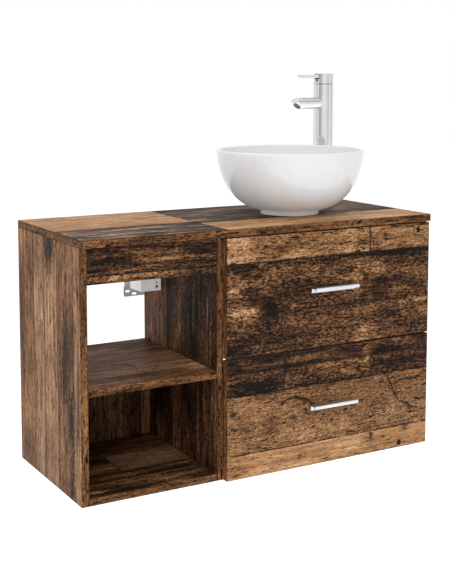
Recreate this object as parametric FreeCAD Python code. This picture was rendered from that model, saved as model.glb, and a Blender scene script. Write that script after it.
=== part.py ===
# Wall-hung bathroom vanity: open compartments on the left, two drawers on the right, a vessel
# basin and a tall mixer tap on the top. Millimetres, +Z up, front towards -Y.
# Origin: on the wall plane, level with the underside, midway between the two sides.
import FreeCAD, Part
import os

V = FreeCAD.Vector
os.makedirs("parts", exist_ok=True)

# ---- carcass
cabinet_width = 800.0
cabinet_height = 500.0
carcass_depth = 322.5
board = 15.0
edge_break = 0.5              # tiny bevel on every banded edge
top_overhang = 2.5            # the top stands this far past the drawer fronts
compartment_width = 270.0     # clear width of the open side
shelf_top = 221.0             # height of the shelf's upper face
valance_height = 70.0
back_set_in = 11.0            # gap between the wall and the back boards
rail_height = 77.0

# ---- drawers
front_gap = 3.0
divider_lap = 0.5             # the fronts lap this far over the divider's edge
side_reveal = 1.5
top_gap = 2.5
lower_front_height = 241.5
drawer_board = 12.0
drawer_bottom_board = 6.0
drawer_box_height = 128.0
drawer_box_depth = 288.0
lower_box_up = 24.0           # underside of the lower box above the foot of its front
bottom_groove_up = 10.0
pipe_cutout_width = 104.0
pipe_cutout_room = 22.0       # free room in front of the trap

# ---- runners: telescopic, three members to a side
runner_gap = 12.7
runner_length = 280.0
runner_height = 45.0
runner_sheet = 1.2
runner_clearance = 0.15
runner_above_box_foot = 62.0

# ---- handles
handle_length = 107.0
handle_hole_spacing = 96.0
handle_projection = 18.0
handle_height = 12.0
handle_lip = 7.0
handle_sheet = 2.5

# ---- wall hangers
hanger_width = 46.0
hanger_block_width = 20.0
hanger_height = 60.0
hanger_front = 81.5           # its front face, out from the wall
hanger_back_gap = 1.5         # behind it, to the back boards
hanger_above_box = 6.5        # the third hanger, above the upper drawer's box
hanger_foot = 341.0           # height of the two hangers in the open compartment
hanger_wall = 2.0
right_hanger_drop = 22.0      # the third hanger hangs this far below the top, under the tap's nut
plate_lip_gap = 4.0           # room behind the plate's lip for the hook's claw
claw_sheet = 3.0
hook_width = 14.0
plate_width = 50.0
plate_height = 72.0
plate_below_hanger = 23.5
plate_sheet = 2.0
plate_slot_length = 10.5
plate_slot_width = 5.0
plate_slot_pitch = 15.8

# ---- cam fittings
cam_diameter = 15.0
cam_skin = 3.0                # board left under a cam's pocket
cam_set_back = 24.0
pin_diameter = 6.0
pin_bite = 9.0
fit_gap = 0.1

# ---- basin
basin_x, basin_y = 152.0, -169.0
basin_diameter = 317.0
basin_height = 137.0
basin_wall = 8.0
foot_diameter = 125.0
foot_height = 8.0
foot_ring = 12.0
bowl_floor = 20.0
drain_hole = 45.0

# ---- waste and trap
waste_tube = 43.0
waste_bore = 35.0
waste_flange = 63.0
waste_tail = 75.0             # below the worktop's upper face
plug_travel = 8.0
plug_thickness = 5.0
stem_diameter = 10.0
trap_diameter = 56.0
trap_neck = 43.0
trap_pipe = 32.0
pipe_spigot = 30.0            # reduced end that sits in the trap
pipe_wall = 2.0
trap_body_height = 54.0
trap_cup_height = 28.0

# ---- tap
tap_x = 323.5
tap_fixing_gap = 0.5          # between the tap's washer and the rail behind it
tap_diameter = 45.8
tap_body_height = 273.5
tap_height = 298.0
tap_turn = 193.0              # where the spout points, degrees about +Z from +X
spout_diameter = 28.0
spout_height = 230.0
spout_reach = 92.5            # to the slanted end face, on the spout's axis
spout_tip = 95.5
spout_tip_radius = 15.0
aerator_drop = 5.0            # the outlet sits this far below the spout's axis
aerator_diameter = 19.0
lever_reach = 78.5
lever_width = 14.0
lever_thickness = 7.5
lever_height = 291.5
tap_tail_diameter = 24.0
tap_tail_length = 36.0
tap_hole = 28.0
tap_washer_diameter = 37.0
tap_nut_diameter = 34.0
tap_inlet = 8.0
tap_inlet_spacing = 11.0

# ---- places worked out from the sizes above
half = cabinet_width / 2
top_under = cabinet_height - board
carcass_front = -carcass_depth
front_face = carcass_front - board
divider_left = -half + board + compartment_width
divider_right = divider_left + board
bay_right = half - board
front_left = divider_right - divider_lap
front_right = half - side_reveal
front_middle = (front_left + front_right) / 2
upper_front_foot = lower_front_height + front_gap
upper_front_head = top_under - top_gap
box_left = divider_right + runner_gap
box_right = bay_right - runner_gap
box_front = carcass_front
box_back = box_front + drawer_box_depth
back_boards = (-back_set_in - board, -back_set_in)
worktop = cabinet_height
hanger_back = back_boards[0] - hanger_back_gap
right_hanger_foot = top_under - right_hanger_drop - hanger_height
upper_box_foot = right_hanger_foot - hanger_above_box - drawer_box_height
tap_y = back_boards[0] - tap_fixing_gap - tap_washer_diameter / 2


def box(x, y, z):
    """Block between pairs of limits."""
    return Part.makeBox(x[1] - x[0], y[1] - y[0], z[1] - z[0], V(x[0], y[0], z[0]))


def rod(diameter, start, end):
    """Round bar from one point to another."""
    along = V(*end) - V(*start)
    return Part.makeCylinder(diameter / 2, along.Length, V(*start), along)


def tube(outer, inner, start, end):
    return rod(outer, start, end).cut(rod(inner, start, end))


def revolve(outline, x, y, z):
    """Solid of revolution about a vertical axis; the outline is a closed wire in the XZ plane."""
    solid = Part.Face(Part.Wire(outline)).revolve(V(0, 0, 0), V(0, 0, 1), 360)
    solid.translate(V(x, y, z))
    return solid


def lines(points):
    corners = [V(r, 0, z) for r, z in points]
    return [Part.makeLine(a, b) for a, b in zip(corners, corners[1:])]


def spline(points):
    curve = Part.BSplineCurve()
    curve.interpolate([V(r, 0, z) for r, z in points])
    return curve.toShape()


def bevelled(shape, keep_back=False):
    """Board with its edges bevelled; the raw back edges at the wall can stay square."""
    back = shape.BoundBox.YMax
    edges = [e for e in shape.Edges if not (keep_back and e.BoundBox.YMax > back - 0.01)]
    return shape.makeChamfer(edge_break, edges)


def panel(x, y, z, square_back=True):
    return bevelled(box(x, y, z), keep_back=square_back)


def mirror_x(shape, at):
    return shape.mirror(V(at, 0, 0), V(1, 0, 0))


nodes = {}


def add(name, *solids):
    nodes.setdefault(name, []).extend(solids)


def cut_node(name, tool):
    nodes[name] = [solid.cut(tool) for solid in nodes[name]]


# ---- boards of the carcass
def build_carcass():
    full_depth = (carcass_front, 0.0)
    sides_height = (0.0, top_under)
    left = (-half, -half + board)
    divider = (divider_left, divider_right)
    right = (bay_right, half)
    inner_left = (-half + board, divider_left)
    bay = (divider_right, bay_right)
    add("top_panel", panel((-half, half), (front_face - top_overhang, 0.0), (top_under, worktop)))
    add("left_side_panel", panel(left, full_depth, sides_height))
    add("divider_panel", panel(divider, full_depth, sides_height))
    add("right_side_panel", panel(right, full_depth, sides_height))
    add("compartment_bottom_panel", panel(inner_left, full_depth, (0.0, board)))
    add("drawer_bay_bottom_panel", panel(bay, full_depth, (0.0, board)))
    add("compartment_shelf", panel(inner_left, full_depth, (shelf_top - board, shelf_top)))
    valance_depth = (carcass_front, carcass_front + board)
    valance_z = (top_under - valance_height, top_under)
    add("compartment_valance", panel(inner_left, valance_depth, valance_z, False))
    back_z = (board, shelf_top - board)
    add("compartment_back_panel", panel(inner_left, back_boards, back_z, False))
    upper = panel(bay, back_boards, (top_under - rail_height, top_under), False)
    add("drawer_bay_upper_rail", upper)
    add("drawer_bay_lower_rail", panel(bay, back_boards, (board, board + rail_height), False))


# ---- cam fittings that pull the boards together
def cam_fitting(board_name, into_name, end, way, face, thickness=board, group="carcass_cam_fittings"):
    """Cam in a board's hidden face, cam_set_back from its end, and the pin into the next board.

    end is the point where the pin's axis crosses the joint, way points from it into the next
    board, and face points out of the board through the cam's mouth."""
    end, way, face = V(*end), V(*way), V(*face)
    centre = end - way * cam_set_back
    mouth = centre + face * (thickness / 2)
    depth = thickness - cam_skin
    cam = Part.makeCylinder(cam_diameter / 2, depth, mouth - face * depth, face)
    pocket = Part.makeCylinder(cam_diameter / 2 + fit_gap, depth + 1, mouth - face * depth, face)
    driver = Part.makeBox(5, 1.2, 1.5, V(-2.5, -0.6, 0))
    driver.Placement = FreeCAD.Placement(mouth - face * 1.5, FreeCAD.Rotation(V(0, 0, 1), face))
    cam = cam.cut(driver)
    pin_start = centre + way * (cam_diameter / 2 + fit_gap)
    pin = rod(pin_diameter, pin_start, end + way * pin_bite)
    hole = rod(pin_diameter + 2 * fit_gap, centre, end + way * (pin_bite + fit_gap))
    cut_node(board_name, pocket.fuse(hole))
    cut_node(into_name, hole)
    add(group, cam, pin)


def build_cam_fittings():
    near, far = carcass_front + 60, -60.0
    west, east, up, down = (-1, 0, 0), (1, 0, 0), (0, 0, 1), (0, 0, -1)
    ends = {
        "left": ("left_side_panel", -half + board, west),
        "divider_left": ("divider_panel", divider_left, east),
        "divider_right": ("divider_panel", divider_right, west),
        "right": ("right_side_panel", bay_right, east),
    }
    flat_boards = [
        ("compartment_bottom_panel", ("left", "divider_left"), board / 2, (near, far), 0.0),
        ("compartment_shelf", ("left", "divider_left"), shelf_top - board / 2, (near, far), 0.0),
        ("drawer_bay_bottom_panel", ("divider_right", "right"), board / 2, (near, far), 16.0),
    ]
    # where two boards meet the divider at one height their pins are staggered in depth
    for name, pair, height, depths, stagger in flat_boards:
        for end in pair:
            into, x, way = ends[end]
            for depth in depths:
                cam_fitting(name, into, (x, depth + stagger, height), way, down)
    middle_of_back = sum(back_boards) / 2
    standing_boards = [
        ("compartment_back_panel", ("left", "divider_left"), middle_of_back, shelf_top / 2),
        ("drawer_bay_upper_rail", ("divider_right", "right"), middle_of_back, top_under - 11.0),
        ("drawer_bay_lower_rail", ("divider_right", "right"), middle_of_back, board + rail_height / 2),
    ]
    for name, pair, depth, height in standing_boards:
        for end in pair:
            into, x, way = ends[end]
            cam_fitting(name, into, (x, depth, height), way, (0, 1, 0))
    for end in ("left", "divider_left"):
        into, x, way = ends[end]
        place = (x, carcass_front + board / 2, top_under - valance_height / 2)
        cam_fitting("compartment_valance", into, place, way, (0, 1, 0))
    for name, x, face in (
        ("left_side_panel", -half + board / 2, east),
        ("divider_panel", (divider_left + divider_right) / 2, east),
        ("right_side_panel", half - board / 2, west),
    ):
        for depth in (near, far):
            cam_fitting(name, "top_panel", (x, depth, top_under), up, face)


# ---- wall hangers: a plastic housing, a steel hook on two adjusting screws, and a wall plate
def hanger(foot):
    """Hanger on a board face at x = 0 that lies to its right, with its wall plate."""
    front = -hanger_front
    back = hanger_back
    block = (-hanger_block_width, 0.0)
    wing = (-hanger_width, -hanger_block_width)
    height = (foot, foot + hanger_height)
    shell = box(block, (front, back), height)
    shell = shell.makeFillet(0.8, [e for e in shell.Edges if e.BoundBox.YMax < front + 0.01])
    shell = shell.fuse(box(wing, (front + 1, back), height)).removeSplitter()
    hollow = box((-hanger_width + hanger_wall, -hanger_wall), (front + 1 + hanger_wall, back + 1),
                 (foot + hanger_wall, foot + hanger_height - hanger_wall))
    shell = shell.cut(hollow)
    screw_x = -9.6
    low, high = foot + 9.0, foot + 17.0
    for z, size in ((low, 6.4), (high, 3.8)):
        shell = shell.cut(rod(size + 2 * fit_gap, (screw_x, front - 1, z), (screw_x, front + 6, z)))
    # the hook: an arm with a claw that drops behind the stood-off lip of the wall plate
    lip_top = foot - plate_below_hanger + plate_height
    arm_z = (lip_top + 0.2, foot + hanger_height - hanger_wall - 0.5)
    arm_x = (-hanger_width / 2 - hook_width / 2, -hanger_width / 2 + hook_width / 2)
    claw_y = (-plate_lip_gap + 0.4, -plate_lip_gap + 0.4 + claw_sheet)
    arm = box(arm_x, (front + 22, claw_y[1]), arm_z)
    claw = box(arm_x, claw_y, (lip_top - 14, arm_z[1]))
    carrier = box((-hanger_width + 4, -4), (front + 14, front + 22), (foot + 4, foot + hanger_height - 4))
    hook = carrier.fuse([arm, claw]).removeSplitter()
    screws = []
    for z, size in ((low, 6.4), (high, 3.8)):
        head = rod(size, (screw_x, front - 0.2, z), (screw_x, front + 4, z))
        reach = size * 0.34
        depth = (front - 1, front + 1)
        slot_a = box((screw_x - reach, screw_x + reach), depth, (z - 0.4, z + 0.4))
        slot_b = box((screw_x - 0.4, screw_x + 0.4), depth, (z - reach, z + reach))
        shank = rod(size * 0.62, (screw_x, front + 3, z), (screw_x, front + 20, z))
        hook = hook.cut(rod(size * 0.62 + 2 * fit_gap, (screw_x, front + 3, z), (screw_x, front + 23, z)))
        screws.append(head.fuse(shank).cut(slot_a.fuse(slot_b)))
    return shell, hook, screws, wall_plate(foot)


def wall_plate(foot):
    """Slotted plate whose upper part stands off the wall as a lip for the hook."""
    low = foot - plate_below_hanger
    bend = low + 21.5
    left, right = -plate_width, 0.0
    sheet = box((left, right), (-plate_sheet, 0.0), (low, bend))
    corners = [e for e in sheet.Edges if e.BoundBox.YLength > 1 and e.BoundBox.ZMax < low + 0.1]
    sheet = sheet.makeFillet(4.0, corners)
    lip_y = (-plate_sheet - plate_lip_gap, -plate_lip_gap)
    step = box((left, right), (lip_y[0], 0.0), (bend, bend + plate_sheet))
    lip = box((left, right), lip_y, (bend, low + plate_height))
    plate_head = low + plate_height - 0.1
    corners = [e for e in lip.Edges if e.BoundBox.YLength > 1 and e.BoundBox.ZMin > plate_head]
    plate = sheet.fuse([step, lip.makeFillet(4.0, corners)]).removeSplitter()
    rows = ((-plate_slot_pitch, 11.5), (0.0, 5.2), (plate_slot_pitch, 11.5))
    for across, up in rows:
        x, z = (left + right) / 2 + across, low + up
        reach = (plate_slot_length - plate_slot_width) / 2
        slot = box((x - reach, x + reach), (-5, 1), (z - plate_slot_width / 2, z + plate_slot_width / 2))
        for end in (x - reach, x + reach):
            slot = slot.fuse(rod(plate_slot_width, (end, -5, z), (end, 1, z)))
        plate = plate.cut(slot)
    return plate


def build_hangers():
    places = (
        ("left", -half + board, hanger_foot, True),
        ("middle", divider_left, hanger_foot, False),
        ("right", bay_right, right_hanger_foot, False),
    )
    for name, x, foot, mirrored in places:
        shell, hook, screws, plate = hanger(foot)
        pieces = [shell, hook, plate] + screws
        if mirrored:
            pieces = [mirror_x(piece, 0) for piece in pieces]
        for piece in pieces:
            piece.translate(V(x, 0, 0))
        add(name + "_hanger_housing", pieces[0])
        add("hanger_hooks", pieces[1])
        add(name + "_wall_plate", pieces[2])
        add("hanger_adjusting_screws", *pieces[3:])
    # the right hanger's hook reaches the wall through a notch in the upper rail
    hook_x = bay_right - hanger_width / 2
    reach = hook_width / 2 + 3
    notch_head = right_hanger_foot + hanger_height + 3
    notch = box((hook_x - reach, hook_x + reach), (back_boards[0] - 1, 0.0), (0, notch_head))
    cut_node("drawer_bay_upper_rail", notch)


# ---- drawer runners
def channel(outer_height, near, far, web_near, y, z):
    """Steel channel: two flanges from near to far, and a web at one of those ends."""
    half_height = outer_height / 2
    inner = half_height - runner_sheet
    body = box((near, far), y, (z - half_height, z + half_height))
    low, high = (near + runner_sheet, far + 1) if web_near else (near - 1, far - runner_sheet)
    return body.cut(box((low, high), (y[0] - 1, y[1] + 1), (z - inner, z + inner)))


def build_runners(drawer, box_foot):
    z = box_foot + runner_above_box_foot
    y = (carcass_front + 2, carcass_front + 2 + runner_length)
    step = 2 * (runner_sheet + runner_clearance)
    members = (
        ("_runner_cabinet_members", channel(runner_height, 0.0, 10.0, True, y, z)),
        ("_runner_middle_members", channel(runner_height - step, 3.0, 11.2, True, y, z)),
        ("_runner_drawer_members", channel(runner_height - 2 * step, 5.0, runner_gap, False, y, z)),
    )
    screw_places = (carcass_front + 37, carcass_front + 37 + 224)
    for name, left in members:
        left.translate(V(divider_right, 0, 0))
        for y_screw in screw_places:
            through = rod(4.2, (divider_right - 1, y_screw, z), (divider_right + runner_gap + 1, y_screw, z))
            if name != "_runner_middle_members":
                left = left.cut(through)
        add(drawer + name, left, mirror_x(left, (divider_right + bay_right) / 2))
    for y_screw in screw_places:
        shank = rod(4.0, (divider_right - 11, y_screw, z), (divider_right + runner_sheet, y_screw, z))
        head = rod(7.5, (divider_right + runner_sheet, y_screw, z), (divider_right + 2.6, y_screw, z))
        screw = shank.fuse(head)
        hole = rod(4.2, (divider_right - 11.2, y_screw, z), (divider_right + 1, y_screw, z))
        cut_node("divider_panel", hole)
        cut_node("right_side_panel", mirror_x(hole, (divider_right + bay_right) / 2))
        add("runner_fixing_screws", screw, mirror_x(screw, (divider_right + bay_right) / 2))


# ---- drawers
def handle(z):
    """Folded strip: a wall on the drawer front, a flat top and a turned-down lip."""
    x = (front_middle - handle_length / 2, front_middle + handle_length / 2)
    top = z + handle_height / 2
    wall = box(x, (front_face - handle_sheet, front_face), (top - handle_height, top))
    plate = box(x, (front_face - handle_projection, front_face), (top - handle_sheet, top))
    lip_y = (front_face - handle_projection, front_face - handle_projection + handle_sheet)
    lip = box(x, lip_y, (top - handle_lip, top))
    grip = wall.fuse([plate, lip]).removeSplitter()
    outer = [e for e in grip.Edges
             if e.BoundBox.XLength > 1 and e.BoundBox.ZMin > top - 0.01 and e.BoundBox.YMax < front_face - 1]
    return grip.makeFillet(handle_sheet * 0.8, outer)


def build_drawer(drawer, foot, head, box_foot):
    z = (box_foot, box_foot + drawer_box_height)
    front = panel((front_left, front_right), (front_face, carcass_front), (foot, head), False)
    add(drawer + "_front", front)
    sides_y = (box_front, box_back)
    left = box((box_left, box_left + drawer_board), sides_y, z)
    right = box((box_right - drawer_board, box_right), sides_y, z)
    inner = (box_left + drawer_board, box_right - drawer_board)
    floor_z = (box_foot + bottom_groove_up, box_foot + bottom_groove_up + drawer_bottom_board)
    groove = 5.0
    floor = box((inner[0] - groove, inner[1] + groove), (box_front, box_back), floor_z)
    back = box(inner, (box_back - drawer_board, box_back), (floor_z[1], z[1]))
    add(drawer + "_left_side", left.cut(floor))
    add(drawer + "_right_side", right.cut(floor))
    add(drawer + "_back", back)
    add(drawer + "_bottom", floor)
    handle_z = (foot + head) / 2
    grip = handle(handle_z)
    front_wall = nodes[drawer + "_front"][0]
    screws = []
    for side in (-1, 1):
        x = front_middle + side * handle_hole_spacing / 2
        bore = rod(4.4, (x, front_face - 1, handle_z), (x, carcass_front + 1, handle_z))
        front_wall = front_wall.cut(bore)
        pilot_end = front_face - handle_sheet + 0.5
        grip = grip.cut(rod(4.2, (x, pilot_end, handle_z), (x, front_face + 1, handle_z)))
        shank = rod(4.0, (x, front_face - handle_sheet + 0.6, handle_z), (x, carcass_front, handle_z))
        screw_head = rod(8.0, (x, carcass_front, handle_z), (x, carcass_front + 2.6, handle_z))
        screws.append(shank.fuse(screw_head))
    nodes[drawer + "_front"] = [front_wall]
    add(drawer + "_handle", grip)
    add(drawer + "_fasteners", *screws)
    middle = (box_left + box_right) / 2
    for height in (z[0] + 32, z[1] - 22):
        for side in (-1, 1):
            x = middle + side * (box_right - box_left - drawer_board) / 2
            name = drawer + ("_left_side" if side < 0 else "_right_side")
            cam_fitting(name, drawer + "_front", (x, carcass_front, height), (0, -1, 0), (-side, 0, 0),
                        drawer_board, drawer + "_fasteners")
    build_runners(drawer, box_foot)
    build_box_screws(drawer, box_foot, floor_z[1])
    return floor_z


def build_box_screws(drawer, box_foot, floor_top):
    """Screws through the sides: into the back board, and from the runners into the sides."""
    runner_z = box_foot + runner_above_box_foot
    centre = (box_left + box_right) / 2
    for z in (floor_top + 22, box_foot + drawer_box_height - 22):
        y = box_back - drawer_board / 2
        hole = rod(3.7, (box_left - 1, y, z), (box_left + drawer_board + 22.2, y, z))
        screw = rod(3.5, (box_left + 2, y, z), (box_left + drawer_board + 22, y, z))
        screw = screw.fuse(rod(7.0, (box_left + 0.2, y, z), (box_left + 2.2, y, z)))
        seat = rod(7.2, (box_left - 1, y, z), (box_left + 2.3, y, z))
        cut_node(drawer + "_left_side", hole.fuse(seat))
        cut_node(drawer + "_right_side", mirror_x(hole.fuse(seat), centre))
        cut_node(drawer + "_back", hole.fuse(mirror_x(hole, centre)))
        add(drawer + "_fasteners", screw, mirror_x(screw, centre))
    for y in (carcass_front + 37, carcass_front + 37 + 224):
        hole = rod(4.2, (box_left - 1, y, runner_z), (box_left + 9.2, y, runner_z))
        screw = rod(4.0, (box_left - runner_sheet, y, runner_z), (box_left + 9, y, runner_z))
        head_end = box_left - runner_sheet
        screw = screw.fuse(rod(7.5, (head_end - 1.4, y, runner_z), (head_end, y, runner_z)))
        cut_node(drawer + "_left_side", hole)
        cut_node(drawer + "_right_side", mirror_x(hole, centre))
        add(drawer + "_fasteners", screw, mirror_x(screw, centre))


def build_pipe_cutout(box_foot, floor_z):
    """U-shaped cut-out, open to the back, that clears the trap, with boards round it."""
    x = (basin_x - pipe_cutout_width / 2, basin_x + pipe_cutout_width / 2)
    reach = basin_y - trap_diameter / 2 - pipe_cutout_room
    top = box_foot + drawer_box_height
    cutout = box(x, (reach, box_back + 1), (box_foot - 1, top + 1))
    outer_x = (x[0] - drawer_board, x[1] + drawer_board)
    walls = box(outer_x, (reach - drawer_board, box_back), (floor_z[1], top))
    cut_node("upper_drawer_bottom", cutout)
    cut_node("upper_drawer_back", walls.fuse(cutout))
    left = box((outer_x[0], x[0]), (reach, box_back), (floor_z[1], top))
    right = box((x[1], outer_x[1]), (reach, box_back), (floor_z[1], top))
    front = box(outer_x, (reach - drawer_board, reach), (floor_z[1], top))
    add("upper_drawer_pipe_guard", left, right, front)


# ---- basin
def build_basin():
    rim = basin_diameter / 2
    foot = foot_diameter / 2
    rise = basin_height - foot_height
    inner_rise = basin_height - bowl_floor
    roll = basin_wall / 2
    # shares of the rise and of the spread from foot to rim that the round bowl passes through
    shape = ((0.0, 0.0), (0.41, 0.11), (0.78, 0.41), (0.963, 0.80), (1.0, 1.0))
    outside = [(foot + share * (rim - foot), foot_height + up * (rise - roll)) for share, up in shape]
    neck = drain_hole / 2 + 14
    inner_rim = rim - basin_wall
    inside = [(neck + share * (inner_rim - neck), bowl_floor + up * (inner_rise - roll))
              for share, up in ((0.0, 0.0), (0.50, 0.085), (0.815, 0.37), (0.968, 0.78), (1.0, 1.0))]
    ring_in = foot - foot_ring
    outline = lines([(drain_hole / 2, foot_height), (ring_in, foot_height), (ring_in, 0.0),
                     (foot, 0.0), outside[0]])
    outline.append(spline(outside))
    crest = V(rim - roll, 0, basin_height)
    outer_end = V(outside[-1][0], 0, outside[-1][1])
    inner_end = V(inside[-1][0], 0, inside[-1][1])
    outline.append(Part.Arc(outer_end, crest, inner_end).toShape())
    outline.append(spline(inside[::-1]))
    outline += lines([inside[0], (drain_hole / 2, bowl_floor - 0.6), (drain_hole / 2, foot_height)])
    add("basin", revolve(outline, basin_x, basin_y, worktop))


# ---- waste fitting, plug and bottle trap
def build_waste():
    floor = worktop + bowl_floor
    tail = worktop - waste_tail
    at = (basin_x, basin_y)
    cut_node("top_panel", rod(drain_hole, (*at, top_under - 1), (*at, worktop + 1)))
    gasket_top = floor + 1.5
    add("waste_gasket", tube(waste_flange - 4, waste_tube + 0.4, (*at, floor), (*at, gasket_top)))
    flange_top = gasket_top + 2.5
    body = rod(waste_flange, (*at, gasket_top), (*at, flange_top))
    body = body.fuse(rod(waste_tube, (*at, tail), (*at, flange_top)))
    body = body.cut(rod(waste_bore, (*at, tail - 1), (*at, flange_top + 1)))
    bridge = box((basin_x - waste_bore / 2 - 1, basin_x + waste_bore / 2 + 1),
                 (basin_y - 4, basin_y + 4), (worktop - 14, worktop - 4))
    boss = rod(stem_diameter + 8, (*at, worktop - 14), (*at, worktop - 4))
    guide = rod(stem_diameter + 0.1, (*at, worktop - 20), (*at, worktop + 5))
    body = body.fuse([bridge, boss]).cut(guide).removeSplitter()
    add("waste_fitting", body)
    # two nuts: one clamps the basin to the worktop, one joins the trap
    add("waste_back_nut", tube(58.0, waste_tube + 0.2, (*at, top_under - 12), (*at, top_under)))
    # the plug stands open; it presses down on to the flange
    plug_foot = flange_top + plug_travel + 0.3
    dome = rod(waste_flange, (*at, plug_foot), (*at, plug_foot + plug_thickness))
    dome = dome.makeFillet(plug_thickness * 0.7, [e for e in dome.Edges if e.BoundBox.ZMin > plug_foot + 1])
    stem = rod(stem_diameter, (*at, worktop - 24), (*at, plug_foot + 1))
    add("waste_plug", dome.fuse(stem))


def build_trap():
    at = (basin_x, basin_y)
    tail = worktop - waste_tail
    shoulder = tail - 27.0
    body_foot = shoulder - trap_body_height
    outlet_z = shoulder - 20.0
    outlet_end = basin_y + trap_diameter / 2 + 20
    bore = trap_neck - 8
    shell = rod(trap_diameter, (*at, body_foot), (*at, shoulder))
    shell = shell.fuse(rod(trap_neck, (*at, shoulder - 1), (*at, tail)))
    shell = shell.fuse(rod(trap_neck, (basin_x, basin_y, outlet_z), (basin_x, outlet_end, outlet_z)))
    shell = shell.cut(rod(trap_diameter - 6, (*at, body_foot - 1), (*at, shoulder - 3)))
    shell = shell.cut(rod(bore, (*at, shoulder - 5), (*at, tail + 1)))
    socket = rod(pipe_spigot + 2 * fit_gap, (basin_x, basin_y, outlet_z), (basin_x, outlet_end + 1, outlet_z))
    shell = shell.cut(socket)
    dip_foot = body_foot - trap_cup_height / 2
    dip = tube(bore + 1, bore - 4, (*at, dip_foot), (*at, shoulder - 2))
    bore_sides = (basin_x - bore, basin_x + bore)
    clear_outlet = box(bore_sides, (basin_y + 8, outlet_end), (outlet_z - bore, shoulder + 9))
    add("trap_body", shell.fuse(dip.cut(clear_outlet)).removeSplitter())
    cup_top = body_foot + 8
    cup = rod(trap_diameter + 7, (*at, body_foot - trap_cup_height), (*at, cup_top))
    cup = cup.makeFillet(6.0, [e for e in cup.Edges if e.BoundBox.ZMax < body_foot - trap_cup_height + 0.1])
    cup = cup.cut(rod(trap_diameter - 6, (*at, body_foot - trap_cup_height + 3), (*at, cup_top + 1)))
    cup = cup.cut(rod(trap_diameter + 2 * fit_gap, (*at, body_foot), (*at, cup_top + 1)))
    add("trap_cup", cup)
    nut = rod(trap_neck + 14, (*at, tail - 16), (*at, tail + 10))
    nut = nut.cut(rod(waste_tube + 2 * fit_gap, (*at, tail - 17), (*at, tail + 11)))
    add("trap_inlet_nut", nut)
    start = basin_y + trap_diameter / 2 - 2
    pipe = rod(trap_pipe, (basin_x, outlet_end, outlet_z), (basin_x, 0.0, outlet_z))
    pipe = pipe.fuse(rod(pipe_spigot, (basin_x, start, outlet_z), (basin_x, outlet_end, outlet_z)))
    wide_bore = trap_pipe - 2 * pipe_wall
    narrow_bore = pipe_spigot - 2 * pipe_wall
    pipe = pipe.cut(rod(wide_bore, (basin_x, outlet_end + 4, outlet_z), (basin_x, 1.0, outlet_z)))
    pipe = pipe.cut(rod(narrow_bore, (basin_x, start - 1, outlet_z), (basin_x, 0.0, outlet_z)))
    add("trap_outlet_pipe", pipe)


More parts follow.
